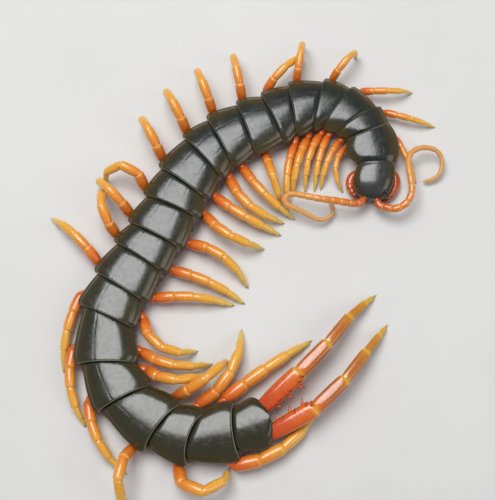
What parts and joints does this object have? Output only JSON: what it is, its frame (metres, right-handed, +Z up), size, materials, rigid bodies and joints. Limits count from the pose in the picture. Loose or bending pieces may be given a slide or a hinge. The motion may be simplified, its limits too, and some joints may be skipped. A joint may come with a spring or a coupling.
{
  "type": "giant centipede model",
  "caption": "Life-size still model of a giant centipede, its plated body bent like a hook, with orange legs, curled antennae and spiny last legs, for display.",
  "frame": {"origin": "on the floor under the middle of the animal's outline seen from above", "axes": "+Z up from the floor, +X to the viewer's right, +Y away from the viewer; the head lies towards +X and +Y, the tail towards -Y"},
  "size_m": [0.0854, 0.0992, 0.008],
  "materials": {
    "shell_plates": "glossy dark olive-brown shell plates with pale rims",
    "head_shield": "glossy blue-grey head shield",
    "claw_plate": "glossy rust-brown plate under the head",
    "poison_claws": "glossy red-orange, dark at the points",
    "antennae": "satin orange-tan",
    "legs": "glossy orange, red at the roots and yellow at the tips",
    "last_legs": "glossy red-orange with yellow joint rings"
  },
  "bodies": {
    "root": {"trunk_01_02": "shell_plates", "trunk_03_04": "shell_plates", "trunk_05_06": "shell_plates", "trunk_07_08": "shell_plates", "trunk_09_10": "shell_plates", "trunk_11_12": "shell_plates", "trunk_13_14": "shell_plates", "trunk_15_16": "shell_plates", "trunk_17_18": "shell_plates", "trunk_19_21": "shell_plates", "head": "head_shield", "claw_plate": "claw_plate", "poison_claw_left": "poison_claws", "antenna_left_base": "antennae", "antenna_left_tip": "antennae", "leg_left_01": "legs", "leg_left_02": "legs", "leg_left_03": "legs", "leg_left_04": "legs", "leg_left_05": "legs", "leg_left_06": "legs", "leg_left_07": "legs", "leg_left_08": "legs", "leg_left_09": "legs", "leg_left_10": "legs", "leg_left_11": "legs", "leg_left_12": "legs", "leg_left_13": "legs", "leg_left_14": "legs", "leg_left_15": "legs", "leg_left_16": "legs", "leg_left_17": "legs", "leg_left_18": "legs", "leg_left_19": "legs", "leg_left_20": "legs", "leg_left_21": "last_legs", "poison_claw_right": "poison_claws", "antenna_right_base": "antennae", "antenna_right_tip": "antennae", "leg_right_01": "legs", "leg_right_02": "legs", "leg_right_03": "legs", "leg_right_04": "legs", "leg_right_05": "legs", "leg_right_06": "legs", "leg_right_07": "legs", "leg_right_08": "legs", "leg_right_09": "legs", "leg_right_10": "legs", "leg_right_11": "legs", "leg_right_12": "legs", "leg_right_13": "legs", "leg_right_14": "legs", "leg_right_15": "legs", "leg_right_16": "legs", "leg_right_17": "legs", "leg_right_18": "legs", "leg_right_19": "legs", "leg_right_20": "legs", "leg_right_21": "last_legs"}
  },
  "joints": []
}
